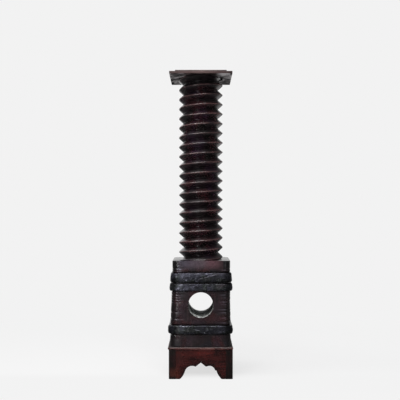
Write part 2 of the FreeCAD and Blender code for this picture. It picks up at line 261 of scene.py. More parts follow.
def apron_mesh(side_name, quarter):
    parts = [mesh_from_loops("apron", apron_loops())]
    parts += [mesh_from_loops("tongue", tongue_loops(side)) for side in (-1, 1)]
    form = bmesh.new()
    for part in parts:
        form.from_mesh(part)
    mesh = bpy.data.meshes.new("apron_" + side_name)
    form.to_mesh(mesh)
    form.free()
    # painted shade along the sawn arch, darker at the very bottom of the feet, and darker towards
    # the ends of the face
    arch_shade_and_darkening = []
    for vertex in mesh.vertices:
        x, z = vertex.co.x / MM, vertex.co.z / MM
        gap = min(float(np.min(np.hypot(arch_x - x, arch_z - z))), 0.9 * z + 3)
        worn = 0.5 + 0.5 * smooth_noise(x / 21, quarter * 7.0, z / 15)
        amount = math.exp(-(gap / (arch_shade_reach * (0.25 + 0.75 * worn))) ** 2)
        edge_share, face_share = (float(np.interp(x, apron_places, shares))
                                  for shares in (arch_shade_share, face_darkening))
        arch_shade_and_darkening.append(max(amount * edge_share, face_share))
    keep_values(mesh, "arch_shade_and_darkening", arch_shade_and_darkening)
    turn_mesh(mesh, quarter)
    return mesh


mahogany_along = {axis: polished_mahogany("french_polished_mahogany_" + axis.lower(), axis)
                  for axis in "XY"}
for quarter, side_name in enumerate(("front", "right", "back", "left")):
    finish_piece("apron_board_" + side_name, apron_mesh(side_name, quarter),
                 mahogany_along["XY"[quarter % 2]], "apron_" + side_name)

# The corner posts: four upright mahogany squares with one rounded corner outside, grooved for
# the aprons. Their grain runs upwards, so they look darker and more streaked than the aprons.


# Mahogany cut along the trunk and stained twice: nearly black streaks between red ones
def stained_mahogany_post():
    material, tree = new_material("twice_stained_mahogany")
    place = add(tree, "TexCoord").outputs["Object"]
    post = add(tree, "Mapping", {"Vector": place, "Scale": (1.0, 1.0, 0.05)})
    # streaks about 5 mm apart, as on the edge of a sawn board
    streaks = add(tree, "TexNoise", {
        "Vector": post, "Scale": 190.0, "Detail": 4.0, "Roughness": 0.65, "Distortion": 0.3})
    patches = add(tree, "TexNoise", {"Vector": place, "Scale": 26.0})
    wood = add(tree, "ValToRGB", {"Fac": streaks}, stops=(
        (0.36, "#100607"), (0.48, "#190809"), (0.56, "#240d0e"), (0.68, "#331616")))
    shaded = add(tree, "ValToRGB", {"Fac": patches}, stops=((0.4, 0.55), (0.62, 0.0)))
    from_foot = add(tree, "VectorMath", (place, worn_foot), operation="DISTANCE")
    rubbed = add(tree, "MapRange", (from_foot, 8 * MM, 34 * MM, 0.4, 0.0))
    # darker in the lowest 12 mm
    height = add(tree, "SeparateXYZ", (place,)).outputs["Z"]
    darker_foot = add(tree, "MapRange", (height, 4 * MM, 14 * MM, 0.9, 0.0))
    colour = wood
    for share, layer in ((shaded, "#0f110e"), (rubbed, "#5c2616"), (darker_foot, "#0b0808")):
        colour = add(tree, "Mix", {0: share, 6: colour, 7: layer}, data_type="RGBA")
    bump = add(tree, "Bump", {"Height": streaks, "Strength": 0.35, "Distance": 0.6 * MM})
    shader = add(tree, "BsdfPrincipled", {
        "Base Color": colour, "Roughness": 0.28, "IOR": 1.45, "Coat Weight": 0.05,
        "Coat Roughness": 0.15, "Coat IOR": 1.5, "Normal": bump})
    add(tree, "OutputMaterial", {"Surface": shader})
    return material


def dress(node_name, material, soften=0.0):
    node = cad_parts[node_name]
    for place in node.material_slots:
        place.material = material
    if soften:
        bevel = node.modifiers.new("softened arrises", "BEVEL")
        bevel.width = soften * MM
        bevel.segments = 2
        bevel.limit_method = "ANGLE"
        bevel.angle_limit = math.radians(40)
        bevel.harden_normals = False


post_mahogany = stained_mahogany_post()
for corner in ("front_left", "front_right", "back_left", "back_right"):
    dress("corner_post_" + corner, post_mahogany, soften=0.8)

# The deck and its cleats, inside the plinth: plain sawn deal, unstained, screwed together.
# They carry the block and are only seen from below.


# Sawn deal gone brown with age: pale yellow-brown with darker growth lines and a dry surface
def aged_deal(name, along):
    material, tree = new_material(name)
    place = add(tree, "TexCoord").outputs["Object"]
    stretch = [0.05 if axis == along else 1.0 for axis in "XYZ"]
    board = add(tree, "Mapping", {"Vector": place, "Scale": stretch})
    # growth lines 4 mm apart
    growth = add(tree, "TexNoise", {
        "Vector": board, "Scale": 250.0, "Detail": 3.0, "Distortion": 0.4})
    stains = add(tree, "TexNoise", {"Vector": place, "Scale": 14.0, "Detail": 4.0})
    wood = add(tree, "ValToRGB", {"Fac": growth}, stops=(
        (0.35, "#6b4c2f"), (0.5, "#94714a"), (0.65, "#ab8a60")))
    stained = add(tree, "ValToRGB", {"Fac": stains}, stops=((0.4, 0.6), (0.6, 0.0)))
    colour = add(tree, "Mix", {0: stained, 6: wood, 7: "#57402c"}, data_type="RGBA")
    bump = add(tree, "Bump", {"Height": growth, "Strength": 0.5, "Distance": 0.5 * MM})
    shader = add(tree, "BsdfPrincipled", {
        "Base Color": colour, "Roughness": 0.75, "IOR": 1.5, "Normal": bump})
    add(tree, "OutputMaterial", {"Surface": shader})
    return material


deal_along_x = aged_deal("aged_sawn_deal_x", "X")
deal_along_y = aged_deal("aged_sawn_deal_y", "Y")
for name, deal in (("plinth_deck", deal_along_x), ("cleat_front", deal_along_x),
                   ("cleat_back", deal_along_x), ("cleat_left", deal_along_y),
                   ("cleat_right", deal_along_y)):
    dress(name, deal, soften=0.6)

# The moulded board on the plinth: one mahogany board whose edge is planed to a half round. It
# stands out on the left and is worn flush on the right, and its edge shines where hands rub it.
board_low, board_high = cad_box_of("plinth_top")
board_half = board_high[0]
board_flush = 149.6
board_corner = 7.0
board_run_steps = 48
nose_radius = (board_high[2] - board_low[2]) / 2
board_degrees = 15


# Mahogany rubbed bright along an edge: pinkish brown, smooth and glossy, darker in the hollows
def rubbed_mahogany():
    material, tree = new_material("rubbed_mahogany_edge")
    coordinates = add(tree, "TexCoord")
    place = coordinates.outputs["Object"]
    board = add(tree, "Mapping", {"Vector": place, "Scale": (0.08, 0.08, 1.0)})
    # streaks about 7 mm apart across the grain
    figure = add(tree, "TexNoise", {
        "Vector": board, "Scale": 140.0, "Detail": 5.0, "Roughness": 0.6})
    wear = add(tree, "TexNoise", {"Vector": place, "Scale": 24.0, "Detail": 3.0})
    wood = add(tree, "ValToRGB", {"Fac": figure}, stops=(
        (0.3, "#2b1312"), (0.5, "#4d2a28"), (0.7, "#66413b")))
    dulled = add(tree, "ValToRGB", {"Fac": wear}, stops=((0.36, 0.8), (0.56, 0.0)))
    # the top of the board is darker and duller
    facing = add(tree, "SeparateXYZ", (coordinates.outputs["Normal"],))
    level = add(tree, "MapRange", (facing.outputs["Z"], 0.65, 0.92))
    colour = wood
    for share, layer in ((dulled, "#241011"), (level, "#2c2220")):
        colour = add(tree, "Mix", {0: share, 6: colour, 7: layer}, data_type="RGBA")
    sheen = add(tree, "MapRange", (level, 0.0, 1.0, 0.26, 0.85))
    bump = add(tree, "Bump", {"Height": figure, "Strength": 0.2, "Distance": 0.4 * MM})
    shader = add(tree, "BsdfPrincipled", {
        "Base Color": colour, "Roughness": sheen, "IOR": 1.5, "Normal": bump})
    add(tree, "OutputMaterial", {"Surface": shader})
    return material


def moulded_board_loops():
    loops = []
    middle = (board_low[2] + board_high[2]) / 2
    for degrees in range(-90, 91, board_degrees):
        a = math.radians(degrees)
        reach = board_corner - nose_radius * (1 - math.cos(a))
        level = middle + nose_radius * math.sin(a)
        loop = []
        for index, (sx, sy) in enumerate(((1, -1), (1, 1), (-1, 1), (-1, -1))):
            reach_x = board_flush if sx > 0 else board_half
            mx, my = sx * (reach_x - board_corner), sy * (board_half - board_corner)
            for step in range(90 // board_degrees + 1):
                turn = math.radians(-90 + 90 * index + board_degrees * step)
                loop.append((mx + reach * math.cos(turn), my + reach * math.sin(turn), level))
            along = math.radians(90 * index)
            nx, ny = math.cos(along), math.sin(along)
            run = (board_half, board_flush)[index % 2] + board_half - 2 * board_corner
            for step in range(1, board_run_steps):
                x = mx + reach * nx - ny * run * step / board_run_steps
                y = my + reach * ny + nx * run * step / board_run_steps
                # hand planing left the edge slightly wavy
                wave = 0.35 + 0.35 * smooth_noise(x / 40, y / 40, 3.0)
                loop.append((x - nx * wave, y - ny * wave, level))
        loops.append(loop)
    return loops


finish_piece("moulded_board", mesh_from_loops("moulded_board", moulded_board_loops()),
             rubbed_mahogany(), "plinth_top", sharp=40)

# The press screw: one timber, its head left square and its shank cut by hand into a coarse
# thread. Turned upside down it stands on its head. The lever hole through the head was bored
# from both sides, and the bores meet with a small step.
strap_bands = [cad_box_of("strap_" + name) for name in ("upper", "middle", "lower")]
block_foot = board_high[2]
block_height = 398.5
block_top = block_foot + block_height
block_foot_half = (139.35, 140.0)
block_top_half = (132.15, 132.5)
block_lean = 4.8
block_rings = 260
block_corner = 28.0
block_top_corner = 22.0
block_ease = 3.0
# above the straps the corners are squarer, and the block is lighter and mauve there
corner_change = strap_bands[0][1][2]
strip_foot = 500 * MM
# the timber has swelled a little where no strap holds it
timber_swell = 3.0
swell_run = 8.0
strap_shade_reach = 4.5
corner_shade_reach = 15.0
# wear of the corners beyond their own radius, as (height, depth), and how far it reaches round
corner_wear = ((146.5, 1.6), (215.0, 1.2), (250.0, 0.4), (545.0, 0.4))
corner_wear_reach = 21.0
# shade is painted black this far out under the thread
under_thread_half = 88.0
lever_axis = 341.0
front_bore = 57.6
back_bore = 62.2
back_bore_shift = (0.2, -2.8)
bore_flare = 0.9
bore_steps = 96
dusty_depth = 34.0
thread_top = cad_box_of("top_plate")[0][2]
thread_pitch = 45.75
crest_radius = 105.4
crest_round = 4.0
root_radius = 82.4
first_crest = block_top + 10.5
turn_steps = 96


# Old walnut under many coats of dark wax: almost black brown, redder where hands have rubbed
# it, greenish black and mauve where the wax has bloomed; the wax shines on every raised edge
def waxed_walnut(name, colours, tool_scale, tool_depth, wax):
    material, tree = new_material(name)
    place = add(tree, "TexCoord").outputs["Object"]
    x, _, z = add(tree, "SeparateXYZ", (place,)).outputs
    trunk = add(tree, "Mapping", {"Vector": place, "Scale": (1.0, 1.0, 0.09)})
    # growth streaks about 8 mm apart, running up the trunk
    streaks = add(tree, "TexNoise", {
        "Vector": trunk, "Scale": 125.0, "Detail": 3.0, "Distortion": 0.5})
    # rubbed and bloomed patches, 65 and 90 mm across
    rubbed = add(tree, "TexNoise", {"Vector": place, "Scale": 15.0, "Roughness": 0.4})
    bloomed = add(tree, "TexNoise", {
        "Vector": place, "Scale": 11.0, "Roughness": 0.45, "Distortion": 0.6})
    wood = add(tree, "ValToRGB", {"Fac": streaks},
               stops=tuple(zip((0.3, 0.48, 0.62, 0.8), colours[:4])))
    red = add(tree, "ValToRGB", {"Fac": rubbed}, stops=((0.47, 0.0), (0.64, 0.75)))
    green = add(tree, "ValToRGB", {"Fac": bloomed}, stops=((0.5, 0.0), (0.66, 0.75)))
    mauve = add(tree, "ValToRGB", {"Fac": bloomed}, stops=((0.3, 0.8), (0.46, 0.0)))
    # the strip of the block above the upper strap is lighter and mauve, bluish on the left and
    # redder on the right
    above = add(tree, "MapRange", (z, strip_foot, strip_foot + 25 * MM, 0.0, 0.85))
    below = add(tree, "MapRange", (z, block_top * MM, (block_top + 3) * MM, 1.0, 0.0))
    strip = add(tree, "Math", (above, below), operation="MULTIPLY")
    off_middle = add(tree, "Math", (x,), operation="ABSOLUTE")
    inner = add(tree, "MapRange", (off_middle, 80 * MM, 108 * MM, 1.0, 0.0))
    inner_strip = add(tree, "Math", (strip, inner), operation="MULTIPLY")
    across = add(tree, "MapRange", (x, -110 * MM, 110 * MM))
    strip_tone = add(tree, "ValToRGB", {"Fac": across}, stops=(
        (0.02, "#40404c"), (0.3, "#4a3e48"), (0.52, "#4e4249"), (0.7, "#593d44"),
        (0.95, "#493135")))
    # painted shade: the strip is nearly black at its two ends
    outer = add(tree, "MapRange", (off_middle, 100 * MM, 107 * MM, 0.0, 0.95))
    strip_end_shade = add(tree, "Math", (strip, outer), operation="MULTIPLY")
    # the crest of the thread is rubbed down to reddish wood, and painted paler as a highlight
    # along it
    crest = add(tree, "Attribute", attribute_name="crest")
    bare = add(tree, "MapRange", (rubbed, 0.3, 0.52))
    crest_wear_and_highlight = add(tree, "Math", (crest.outputs["Fac"], bare), operation="MULTIPLY")
    # painted highlights, bluish, in the marks of the plane, and painted shade along the straps,
    # round the corners and under the thread
    mark_highlight = add(tree, "Attribute", attribute_name="mark_highlight")
    mark_highlit = add(tree, "Math", (mark_highlight.outputs["Fac"], 0.11), operation="MULTIPLY")
    painted_block_shade = add(tree, "Attribute", attribute_name="painted_block_shade")
    block_shaded = add(tree, "Math", (painted_block_shade.outputs["Fac"], 0.75), operation="MULTIPLY")
    colour = wood
    for share, layer in ((red, colours[4]), (green, colours[5]), (mauve, colours[6]),
                         (inner_strip, strip_tone), (strip_end_shade, "#0c0d10"), (crest_wear_and_highlight, "#563c3c"),
                         (mark_highlit, "#9a9aae"), (block_shaded, "#0a0808")):
        colour = add(tree, "Mix", {0: share, 6: colour, 7: layer}, data_type="RGBA")
    # marks of the tool, drawn as shallow ripples 16 mm apart across the cut
    marks = add(tree, "Mapping", {"Vector": place, "Scale": tool_scale})
    ripples = add(tree, "TexNoise", {"Vector": marks, "Scale": 60.0, "Detail": 3.0})
    sheen = add(tree, "MapRange", (rubbed, 0.3, 0.7, 0.34, 0.22))
    ripple = add(tree, "Bump", {
        "Height": ripples, "Strength": 0.6, "Distance": tool_depth * MM})
    grain = add(tree, "Bump", {
        "Height": streaks, "Strength": 0.25, "Distance": 2 * tool_depth * MM, "Normal": ripple})
    shader = add(tree, "BsdfPrincipled", {
        "Base Color": colour, "Roughness": sheen, "IOR": 1.5, "Coat Weight": wax,
        "Coat Roughness": 0.16, "Coat IOR": 1.45, "Normal": grain})
    add(tree, "OutputMaterial", {"Surface": shader})
    return material


# The wall of the lever hole: bare bored wood, black with age, under patches of dry grey dust,
# painted pale where the bore's floor is lit
def dusty_bore():
    material, tree = new_material("dusty_bored_walnut")
    place = add(tree, "TexCoord").outputs["Object"]
    # dust in patches 12 mm across
    patches = add(tree, "TexNoise", {
        "Vector": place, "Scale": 80.0, "Detail": 4.0, "Roughness": 0.6})
    dust = add(tree, "ValToRGB", {"Fac": patches}, stops=(
        (0.36, "#4e504e"), (0.48, "#a3a6a3"), (0.6, "#e1e3e0")))
    dust_and_painted_light = add(tree, "Attribute", attribute_name="dust_and_painted_light").outputs["Fac"]
    wall = add(tree, "Mix", {0: dust_and_painted_light, 6: "#0a0808", 7: dust}, data_type="RGBA")
    # dust scatters the light, so it has next to no gloss
    shader = add(tree, "BsdfPrincipled", {
        "Base Color": wall, "Roughness": 0.95, "IOR": 1.45, "Specular IOR Level": 0.1})
    add(tree, "OutputMaterial", {"Surface": shader})
    return material


walnut_block = waxed_walnut(
    "waxed_walnut_hewn",
    ("#110a0c", "#1b0f12", "#25171b", "#342327", "#36191b", "#1a191f", "#2a1d25"),
    (0.6, 0.6, 1.6), 0.25, 0.4)
walnut_thread = waxed_walnut(
    "waxed_walnut_carved",
    ("#0c0709", "#140b0e", "#1b1014", "#23151a", "#2a1014", "#0f110f", "#201220"),
    (0.8, 0.8, 2.4), 0.07, 0.7)


# One level line round the block: points as (x, y, normal, nearest corner, way from its middle)
def block_outline(height, margin, samples=30, arc_samples=12):
    share = (height - block_foot) / block_height
    half_x, half_y = (foot + (top - foot) * share + margin
                      for foot, top in zip(block_foot_half, block_top_half))
    centre = block_lean * (share - 0.5)
    squarer = min(max((height - corner_change) / (block_top - corner_change), 0.0), 1.0)
    radius = block_corner + (block_top_corner - block_corner) * squarer + margin
    half_arc = radius * math.pi / 4
    points = []
    for index, (sx, sy) in enumerate(((1, -1), (1, 1), (-1, 1), (-1, -1))):
        mx = centre + sx * (half_x - radius)
        my = sy * (half_y - radius)
        for step in range(arc_samples + 1):
            a = math.radians(-90 + 90 * index + 90 * step / arc_samples)
            along = (2 * step / arc_samples - 1) * half_arc
            points.append((mx + radius * math.cos(a), my + radius * math.sin(a),
                           math.cos(a), math.sin(a), index, along))
        a = math.radians(90 * index)
        flat = 2 * ((half_y, half_x)[index % 2] - radius)
        for step in range(1, samples):
            run = flat * step / samples
            x = mx + radius * math.cos(a) - math.sin(a) * run
            y = my + radius * math.sin(a) + math.cos(a) * run
            if run < flat / 2:
                corner, along = index, half_arc + run
            else:
                corner, along = (index + 1) % 4, run - flat - half_arc
            points.append((x, y, math.cos(a), math.sin(a), corner, along))
    return points


# Chatter marks: short level cuts that a jumping plane left on the corners of the block, as
# (corner, height, depth, width, middle, reach). On the two front corners they are those that show.
chatter = []
cuts = random.Random(11)
front_cuts = {0: (505, 489, 390, 378.5, 358, 346, 322, 309, 284, 262, 215),
              3: (509, 499, 486, 403, 388, 377, 365, 353, 308, 277, 240)}
for corner in range(4):
    for height in front_cuts.get(corner) or [cuts.uniform(205, 515) for _ in range(13)]:
        chatter.append((corner, height, cuts.uniform(1.8, 2.6), cuts.uniform(3.0, 3.8),
                        cuts.uniform(-6, 10), cuts.uniform(34, 46)))


def block_skin():
    edges = [corner[2] for band in strap_bands for corner in band]
    heights = [block_foot, block_foot + 1.0]
    heights += np.linspace(block_foot + 4, block_top - block_ease, block_rings).tolist()
    heights += [block_top - 0.9, block_top]
    marks = []
    painted_block_shade = []
    loops = []
    for height in heights:
        inset = max(0.0, height - (block_top - block_ease))
        margin = -block_ease * (1 - math.sqrt(max(0.0, 1 - (inset / block_ease) ** 2)))
        if height == block_foot:
            margin = -0.8
        clear = min(max(low[2] - height, height - high[2]) for low, high in strap_bands)
        margin += timber_swell * min(max(clear / swell_run, 0.0), 1.0)
        most_wear = float(np.interp(height, *zip(*corner_wear)))
        from_strap = min(abs(height - edge) for edge in edges)
        along_strap = math.exp(-(from_strap / strap_shade_reach) ** 2)
        loop = []
        for x, y, nx, ny, corner, along in block_outline(height, margin):
            depth = 0.0
            mark_highlight = 0.0
            for place, level, deep, wide, middle, reach in chatter:
                if place == corner and abs(height - level) < 3 * wide:
                    across = math.exp(-((height - level) / wide) ** 2)
                    within = math.exp(-((along - middle) / reach) ** 4)
                    depth += deep * across * within
                    mark_highlight += within * math.exp(-((height - level + wide) / (0.7 * wide)) ** 2)
            # the painted highlight in the marks fades out round the corner; beside the left front
            # corner above the straps it is twice as strong, and pale flecks are painted there as
            # glints
            flatness = min(max((max(abs(nx), abs(ny)) - 0.93) / 0.06, 0.0), 1.0)
            mark_highlight = min(mark_highlight, 1.0)
            if height > corner_change and corner == 3:
                glint_noise = max(0.0, smooth_noise(x / 9, y / 9, height / 5) + 0.15)
                chip_glint = 22 * glint_noise ** 2 * math.exp(-((along - 28) / 7) ** 4)
                mark_highlight = mark_highlight * 2 + chip_glint
            marks.append(mark_highlight * flatness)
            # painted shade: black along the straps, round the corners and where the thread begins
            at_corner = 0.8 * math.exp(-(along / corner_shade_reach) ** 4)
            under_thread = block_top - height < 0.5 and abs(x) < under_thread_half
            painted_block_shade.append(1.2 if under_thread else max(along_strap, at_corner))
            from_arc = abs(along) - block_corner * math.pi / 4
            wear = min(max(1 - from_arc / corner_wear_reach, 0.0), 1.0)
            depth += most_wear * wear * wear * (3 - 2 * wear)
            # hewn faces: low waves 70 mm long, and ripples 17 mm long
            wave = 0.9 * smooth_noise(x / 70, y / 70, height / 46)
            depth += 0.3 + wave + 0.35 * smooth_noise(x / 17, y / 17 + 9, height / 13)
            depth = max(depth, -0.2)
            loop.append((x - nx * depth, y - ny * depth, height))
        loops.append(loop)
    mesh = mesh_from_loops("block", loops)
    keep_values(mesh, "mark_highlight", marks)
    keep_values(mesh, "painted_block_shade", painted_block_shade)
    return mesh


def bore_cutter():
    half = (block_foot_half[1] + block_top_half[1]) / 2 + timber_swell
    # how far each place from the mouth inwards stands outside the plain bore
    mouth = ((-12, bore_flare + 9), (0, bore_flare), (0.8, 0.5 * bore_flare), (2.6, 0.2), (5, 0.0))
    profile = [(inward - half, front_bore + out) for inward, out in mouth]
    profile += [(dusty_depth - half, front_bore), (-0.4, front_bore), (0.0, front_bore + 0.5),
                (0.4, back_bore - 0.5), (0.8, back_bore)]
    profile += [(half - inward, back_bore + out) for inward, out in mouth[::-1]]
    loops = []
    for y, radius in profile:
        shift_x, shift_z = back_bore_shift if y > 0 else (0.0, 0.0)
        loop = []
        for step in range(bore_steps):
            a = math.tau * step / bore_steps
            # the auger wandered: the wall is not quite round
            r = radius + 0.7 * smooth_noise(1.6 * math.cos(a), 1.6 * math.sin(a), y / 60)
            loop.append((shift_x + r * math.cos(a), y, lever_axis + shift_z + r * math.sin(a)))
        loops.append(loop)
    return mesh_from_loops("cutter", loops)


def cut_from(mesh, cutter_mesh):
    body = put_in_scene("body", mesh)
    cutter = put_in_scene("cutter", cutter_mesh)
    cut = body.modifiers.new("bore", "BOOLEAN")
    cut.operation = "DIFFERENCE"
    cut.solver = "EXACT"
    cut.object = cutter
    bpy.context.view_layer.update()
    ready = body.evaluated_get(bpy.context.evaluated_depsgraph_get())
    result = bpy.data.meshes.new_from_object(ready)
    bpy.data.objects.remove(body)
    bpy.data.objects.remove(cutter)
    return result


def line_bore(mesh, outside, wall):
    mesh.materials.clear()
    mesh.materials.append(outside)
    mesh.materials.append(wall)
    dust_and_painted_light = [0.0] * len(mesh.loops)
    axis = Vector((0.0, 0.0, lever_axis * MM))
    for face in mesh.polygons:
        from_axis = face.center - axis
        depth = from_axis.y
        from_axis.y = 0.0
        facing = from_axis.normalized().dot(face.normal)
        inside = from_axis.length < (back_bore + bore_flare + 4) * MM and facing < -0.3
        face.material_index = 1 if inside else 0
        for corner in face.loop_indices if inside else ():
            point = mesh.vertices[mesh.loops[corner].vertex_index].co
            turn = math.atan2(point.z - axis.z, point.x)
            # dust lies on the floor of the front bore and thins out up its sides, painted paler
            # there for the light on that floor; deep inside on the right it is left black as
            # painted shadow, and the back bore is painted palest at its lower left
            right = max(0.0, math.cos(turn + 0.55)) ** 2
            inner = min(max(point.y / MM + block_top_half[1], 0.0) / dusty_depth, 1.0)
            lying = max(0.4 - 0.42 * math.sin(turn), 0.0)
            dust_and_painted_light[corner] = lying * (1 - right * inner)
            if depth > 0:
                dust_and_painted_light[corner] = min(1.8 * max(0.0, -math.cos(turn - 0.9)), 1.0)
    keep_values(mesh, "dust_and_painted_light", dust_and_painted_light, "CORNER")
    return mesh


# Half of the thread's profile as (height above the crest's middle, radius): a crest worn
# round, a straight flank and a narrow root
thread_profile = [(crest_round * math.sin(math.radians(a)),
                   crest_radius - crest_round * (1 - math.cos(math.radians(a))))
                  for a in (0, 9, 18, 27, 36, 44, 50)]
flank_start = thread_profile[-1]
flank_end = (thread_pitch / 2 - 0.5, root_radius)
thread_profile += [(flank_start[0] + (flank_end[0] - flank_start[0]) * share,
                    flank_start[1] + (flank_end[1] - flank_start[1]) * share)
                   for share in (0.12, 0.28, 0.46, 0.64, 0.82, 0.94, 1.0)]


def thread_skin():
    profile = [(-z, r) for z, r in thread_profile[:0:-1]] + thread_profile
    width = len(profile)
    start = -2 * turn_steps
    stop = math.ceil((thread_top - first_crest) / thread_pitch + 1) * turn_steps
    vertices = []
    for step in range(start, stop + 1):
        turns = step / turn_steps
        a = math.tau * turns
        along = a * crest_radius
        # the hand-cut helix wanders by a millimetre, and the crest is nicked here and there
        wander = 0.9 * smooth_noise(turns * 3.1, 0.0, 4.2)
        height = first_crest + thread_pitch * turns + wander
        worn = 0.7 * smooth_noise(along / 60, 3.3, 0.0) - 0.5
        nick = max(0.0, smooth_noise(along / 19, 8.8, 1.0) - 0.46) * 8
        for z, r in profile:
            near_crest = max(0.0, 1 - abs(z) / 8)
            facet = 0.35 * smooth_noise(along / 48, z / 16, 2.0)
            radius = r + worn * near_crest - nick * near_crest ** 2 + facet
            level = min(max(height + z, block_top - 6), thread_top - 0.2)
            vertices.append((radius * math.cos(a) * MM, radius * math.sin(a) * MM, level * MM))
    steps = stop - start
    faces = []
    for i in range(steps):
        for j in range(width - 1):
            a = i * width + j
            faces.append((a, a + width, a + width + 1, a + 1))
        if i + 1 + turn_steps <= steps:
            a = i * width + width - 1
            b = (i + turn_steps) * width
            faces.append((a, a + width, b + width, b))
    mesh = bpy.data.meshes.new("thread")
    mesh.from_pydata(vertices, [], faces)
    # share of the crest that is worn and painted paler as a highlight
    crest_wear_and_highlight = [max(0.0, 0.9 - abs(z - 1) / 5) for z, _ in profile] * (steps + 1)
    keep_values(mesh, "crest", crest_wear_and_highlight)
    form = bmesh.new()
    form.from_mesh(mesh)
    bmesh.ops.dissolve_degenerate(form, dist=0.02 * MM, edges=form.edges)
    bmesh.ops.recalc_face_normals(form, faces=form.faces)
    form.to_mesh(mesh)
    form.free()
    if max(mesh.polygons, key=lambda face: face.center.x).normal.x < 0:
        mesh.flip_normals()
    return mesh


block_mesh = line_bore(cut_from(block_skin(), bore_cutter()), walnut_block, dusty_bore())
finish_piece("press_block", block_mesh, None, "press_screw", sharp=38)
finish_piece("press_thread", thread_skin(), walnut_thread, "press_screw", sharp=40)

# The straps: three bands of wrought iron, forged round the block while hot. The upper and the
# lower one end in a scarf lap on the front. They are lumpy and thick at the corners, where the
# smith closed them with the hammer.
strap_gap = 0.3
face_crown = 2.6
corner_bulge = 3.2
lap_bevel_share = 0.07
# a lap is its edge line as (x, share of the strap's width), its rise, and the x of its far end
upper_lap = (((-26, -0.1), (-20, 0.14), (-8, 0.38), (43, 0.7), (66, 0.84), (108, 0.9)), 3.2, 124)
lower_lap = (((-70, 0.95), (-36, 0.62), (-8, 0.5), (24, 0.12), (30, -0.1)), 3.0, -112)


# Forge-blackened wrought iron: blue-black scale over hammered metal, rubbed grey on the high
# spots, with a dull gleam that breaks up on the hammer marks
def forged_iron():
    material, tree = new_material("forge_blackened_iron")
    coordinates = add(tree, "TexCoord")
    place = coordinates.outputs["Object"]
    x, _, z = add(tree, "SeparateXYZ", (place,)).outputs
    # hammer marks 25 mm across
    hammered = add(tree, "TexNoise", {
        "Vector": place, "Scale": 40.0, "Roughness": 0.4, "Distortion": 0.8})
    # scale: crusts 12 mm across
    scale = add(tree, "TexNoise", {
        "Vector": place, "Scale": 80.0, "Detail": 4.0, "Roughness": 0.55})
    # heat tint: patches 45 mm across, bluish to greenish
    tint = add(tree, "TexNoise", {"Vector": place, "Scale": 22.0, "Detail": 3.0})
    tinted = add(tree, "ValToRGB", {"Fac": tint}, stops=(
        (0.34, "#aaaac0"), (0.48, "#8b8b9a"), (0.58, "#808786"), (0.72, "#9f98a0")))
    crust = add(tree, "ValToRGB", {"Fac": scale}, stops=((0.38, 0.45), (0.6, 1.0)))
    # painted light across the straps: a highlight left of the middle on the front and back, and
    # painted shade at the far left corner and towards the right end
    across = add(tree, "MapRange", (x, -135 * MM, 135 * MM))
    painted_light_across = add(tree, "ValToRGB", {"Fac": across}, stops=(
        (0.06, 0.22), (0.11, 0.75), (0.17, 1.0), (0.24, 0.52), (0.4, 0.34), (0.53, 0.42),
        (0.62, 0.37), (0.8, 0.45), (0.87, 0.24), (1.0, 0.16)))
    # the lowest strap is darker, and the lower half of the upper one has painted shade
    up = add(tree, "MapRange", (z, 200 * MM, 500 * MM))
    low_dark_and_shade = add(tree, "ValToRGB", {"Fac": up}, stops=(
        (0.0, 0.68), (0.1, 0.6), (0.15, 0.46), (0.5, 1.0), (0.795, 1.0), (0.82, 0.56),
        (0.87, 0.64), (0.92, 1.0)))
    colour = tinted
    for shade in (crust, painted_light_across, low_dark_and_shade):
        colour = add(tree, "Mix", {0: 1.0, 6: colour, 7: shade}, data_type="RGBA",
                     blend_type="MULTIPLY")
    # painted shade: the upper edges of the two upper straps are darkened
    facing = add(tree, "SeparateXYZ", (coordinates.outputs["Normal"],))
    level = add(tree, "MapRange", (facing.outputs["Z"], 0.25, 0.55, 0.0, 0.9))
    high = add(tree, "MapRange", (z, 300 * MM, 380 * MM))
    upper_edge_shade = add(tree, "Math", (level, high), operation="MULTIPLY")
    painted_shade = add(tree, "Mix", {0: upper_edge_shade, 6: colour, 7: "#1d1a20"}, data_type="RGBA")
    rough = add(tree, "MapRange", (scale, 0.35, 0.65, 0.42, 0.24))
    dents = add(tree, "Bump", {"Height": hammered, "Strength": 0.8, "Distance": 5 * MM})
    grit = add(tree, "Bump", {
        "Height": scale, "Strength": 0.2, "Distance": 0.5 * MM, "Normal": dents})
    shader = add(tree, "BsdfPrincipled", {
        "Base Color": painted_shade, "Roughness": rough, "Metallic": 0.85, "Normal": grit})
    add(tree, "OutputMaterial", {"Surface": shader})
    return material


# The lapping end lies under its edge line and thins out towards its far end
def lap_height(x, share, outline, rise, far_end):
    edge = float(np.interp(x, *zip(*outline)))
    full = min(max((edge - share) / lap_bevel_share, 0.0), 1.0)
    spread = abs(far_end - outline[len(outline) // 2][0])
    return rise * full * min(max(abs(far_end - x) / spread, 0.0), 1.0)


